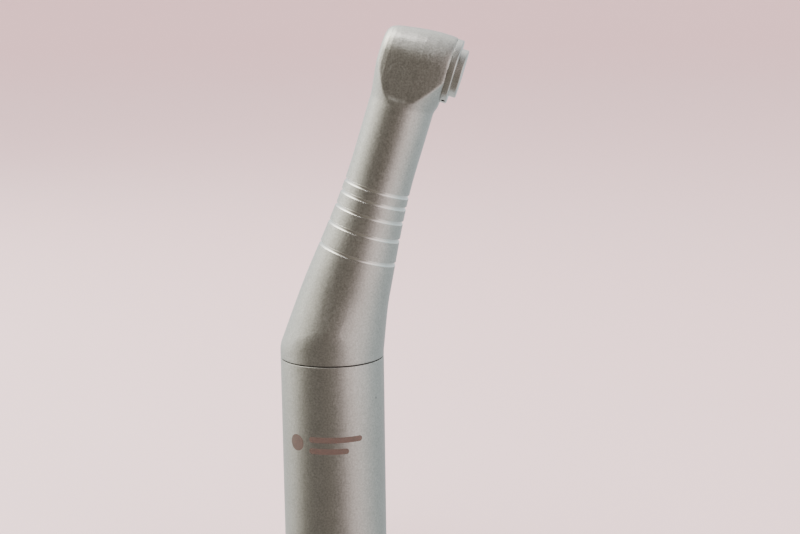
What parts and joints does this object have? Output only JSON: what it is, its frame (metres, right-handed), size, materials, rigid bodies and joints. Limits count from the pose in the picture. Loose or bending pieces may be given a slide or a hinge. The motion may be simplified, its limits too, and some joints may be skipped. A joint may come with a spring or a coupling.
{
  "type": "push-button contra-angle handpiece",
  "caption": "Straight satin metal sleeve with a bent, ring-grooved neck and a small cylindrical head with a release button, gear drive and latch chuck inside.",
  "frame": {"origin": "centre of the open rear rim, on the handle axis", "axes": "+Z along the handle from the rear rim to the bend, the neck leans towards +X, the push button faces +X and the tool side faces -X"},
  "size_m": [0.033, 0.018, 0.0985],
  "materials": {
    "bead_blasted_steel": "bead-blasted satin",
    "satin_steel": "fine satin",
    "machined_steel": "turned",
    "hardened_steel": "ground",
    "bearing_steel": "lapped",
    "spring_steel": "drawn",
    "brass": "turned",
    "cage_resin": "moulded",
    "black_rubber": "matt"
  },
  "bodies": {
    "handle": {"sleeve": "bead_blasted_steel", "coupling_body": "machined_steel", "joint_seal": "black_rubber", "rear_nut": "brass", "rear_spacer": "machined_steel", "rear_outer_races": "bearing_steel", "housing": "bead_blasted_steel", "neck_nut": "brass", "neck_spacer": "machined_steel", "neck_outer_races": "bearing_steel", "head_outer_races": "bearing_steel", "bearing_holder": "machined_steel", "head_cap": "satin_steel", "button_spring": "spring_steel"},
    "rear_drive": {"rear_shaft": "hardened_steel", "drive_dog": "hardened_steel", "rear_crown": "hardened_steel", "rear_inner_races": "bearing_steel"},
    "rear_cage": {"rear_cages": "cage_resin", "rear_balls": "bearing_steel"},
    "neck_drive": {"neck_shaft": "hardened_steel", "neck_crown": "hardened_steel", "neck_bevel": "hardened_steel", "neck_inner_races": "bearing_steel"},
    "neck_cage": {"neck_cages": "cage_resin", "neck_balls": "bearing_steel"},
    "chuck": {"spindle": "hardened_steel", "head_gear": "hardened_steel", "head_inner_races": "bearing_steel", "latch_spring": "spring_steel"},
    "latch": {"latch_plate": "spring_steel"},
    "head_cage": {"head_cages": "cage_resin", "head_balls": "bearing_steel"},
    "push_button": {"button": "satin_steel"}
  },
  "joints": [
    {"name": "handle_spin", "type": "hinge", "parent": "handle", "child": "rear_drive", "pos_m": [0, 0, 0.03], "axis": [0, 0, 1], "continuous": true},
    {"name": "neck_spin", "type": "hinge", "parent": "handle", "child": "neck_drive", "pos_m": [0, 0, 0.0449], "axis": [0.2982, 0, 0.9545], "continuous": true},
    {"name": "spindle_spin", "type": "hinge", "parent": "handle", "child": "chuck", "pos_m": [0.01497, 0, 0.09282], "axis": [0.9545, 0, -0.2982], "continuous": true},
    {"name": "rear_cage_spin", "type": "hinge", "parent": "handle", "child": "rear_cage", "pos_m": [0, 0, 0.03], "axis": [0, 0, 1], "continuous": true},
    {"name": "neck_cage_spin", "type": "hinge", "parent": "handle", "child": "neck_cage", "pos_m": [0, 0, 0.0449], "axis": [0.2982, 0, 0.9545], "continuous": true},
    {"name": "head_cage_spin", "type": "hinge", "parent": "handle", "child": "head_cage", "pos_m": [0.01497, 0, 0.09282], "axis": [0.9545, 0, -0.2982], "continuous": true},
    {"name": "button_press", "type": "slide", "parent": "handle", "child": "push_button", "axis": [-0.9545, 0, 0.2982], "range_m": [0, 0.0008], "stiffness_N_per_m": 2000, "springref_m": -0.002, "deforming": ["button_spring"]},
    {"name": "latch_slide", "type": "slide", "parent": "chuck", "child": "latch", "axis": [0.2982, 0, 0.9545], "range_m": [0, 0.00045]}
  ],
  "couplings": [
    {"joint": "neck_spin", "follows": "handle_spin", "ratio": 1},
    {"joint": "spindle_spin", "follows": "handle_spin", "ratio": -1},
    {"joint": "rear_cage_spin", "follows": "handle_spin", "ratio": 0.368},
    {"joint": "neck_cage_spin", "follows": "handle_spin", "ratio": 0.381},
    {"joint": "head_cage_spin", "follows": "handle_spin", "ratio": -0.407},
    {"joint": "latch_slide", "follows": "button_press", "ratio": 0.5625}
  ]
}
